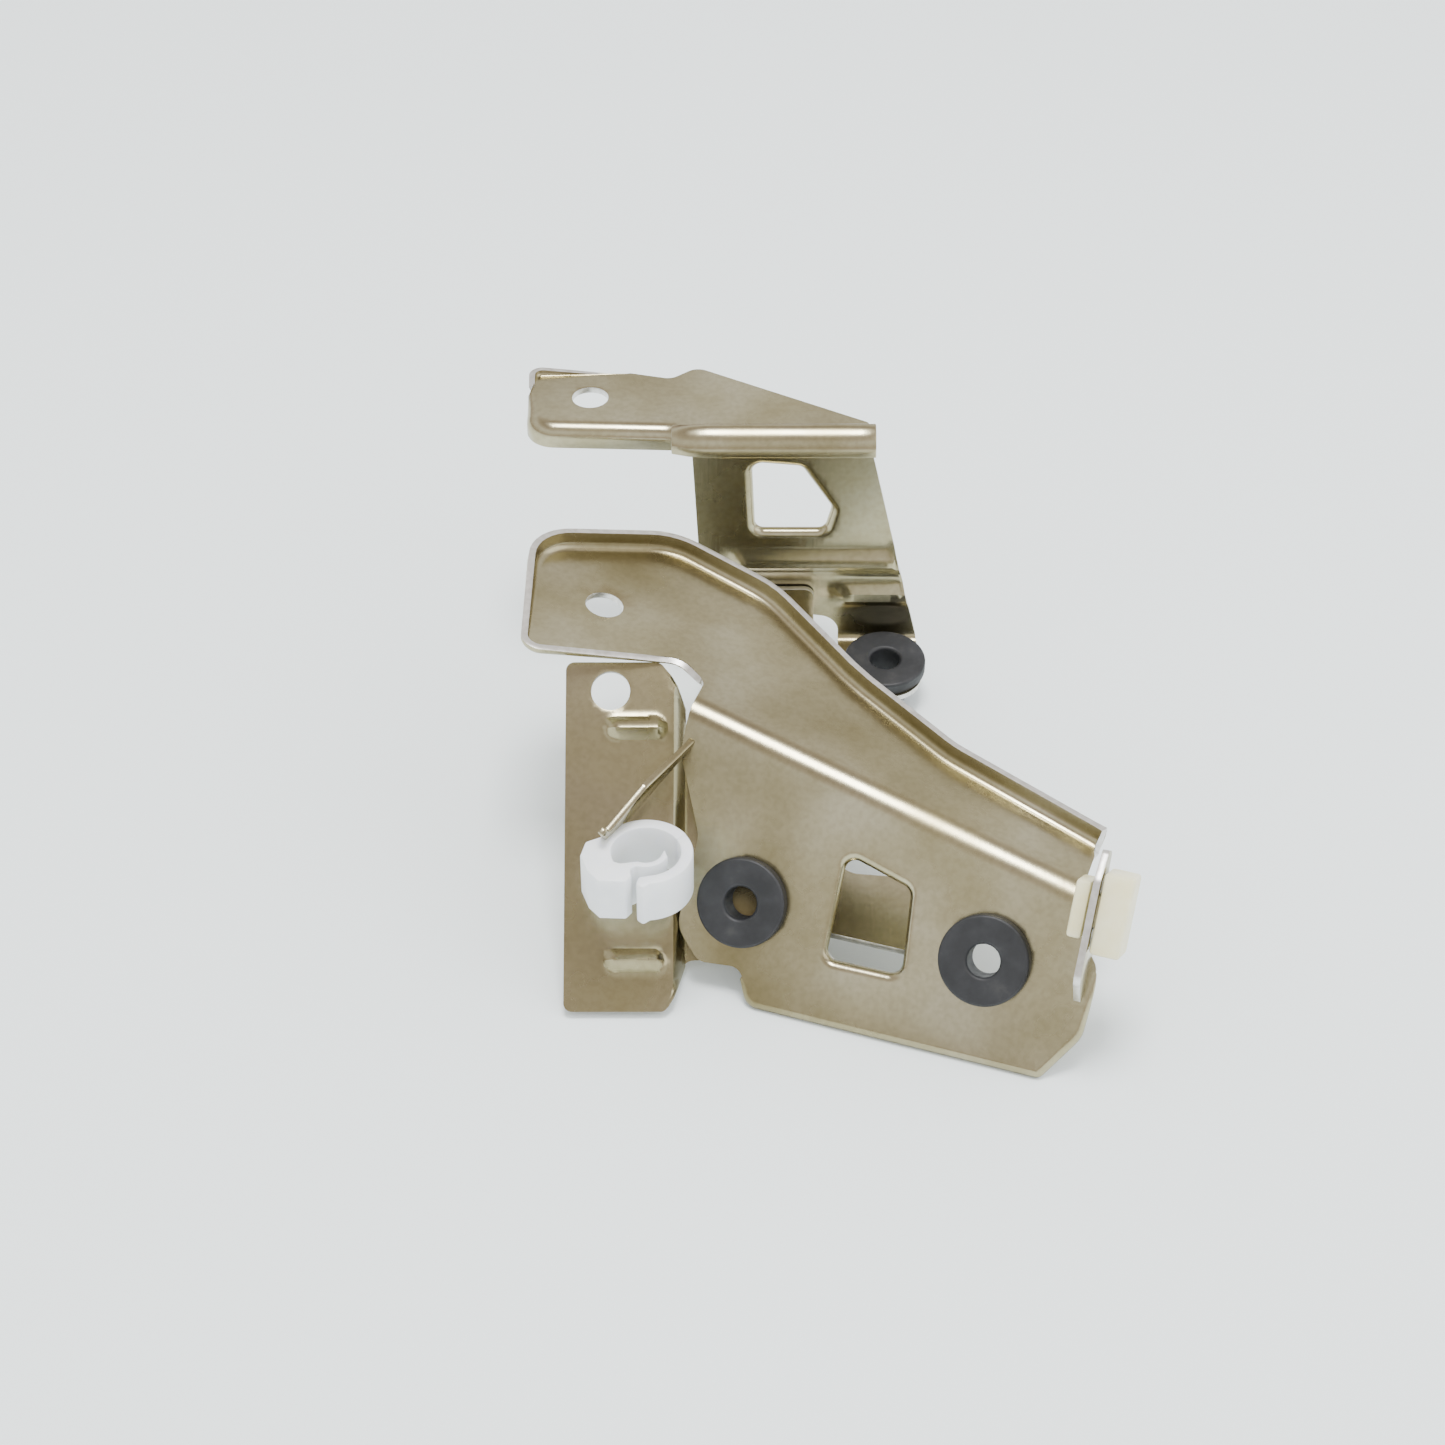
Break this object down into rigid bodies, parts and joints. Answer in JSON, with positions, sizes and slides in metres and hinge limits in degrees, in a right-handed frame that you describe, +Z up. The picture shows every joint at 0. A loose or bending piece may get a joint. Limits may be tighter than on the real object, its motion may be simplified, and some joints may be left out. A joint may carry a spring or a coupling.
{
  "type": "grommet support bracket",
  "caption": "Stamped steel support bracket with a rimmed arm, side web, rear tongue, rubber grommets, a nylon insert and a springy cable clip.",
  "frame": {"origin": "on the bench, under the middle of the bracket's bounding box", "axes": "+X along the plates from the side web towards the lug, +Y from the front plate to the rear plate, +Z up, with the bracket as it rests on a bench"},
  "size_m": [0.1088, 0.1364, 0.0572],
  "materials": {
    "plated_steel": "bright plated, slightly yellow, satin with brown reflections at the bends",
    "black_rubber": "smooth matt",
    "white_nylon": "translucent white, satin",
    "amber_nylon": "translucent pale yellow, satin"
  },
  "bodies": {
    "bracket": {"front_plate": "plated_steel", "side_web": "plated_steel", "rear_plate": "plated_steel", "cross_plate": "plated_steel", "front_left_grommet": "black_rubber", "front_right_grommet": "black_rubber", "rear_grommet": "black_rubber", "nylon_insert": "amber_nylon", "cable_clip": "white_nylon"},
    "clip_jaw": {"clip_jaw": "white_nylon"}
  },
  "joints": [
    {"name": "jaw_flex", "type": "hinge", "parent": "bracket", "child": "clip_jaw", "pos_m": [-0.02208, -0.04472, 0.02571], "axis": [0, 0, 1], "range_deg": [0, 20], "stiffness_Nm_per_rad": 0.05}
  ]
}
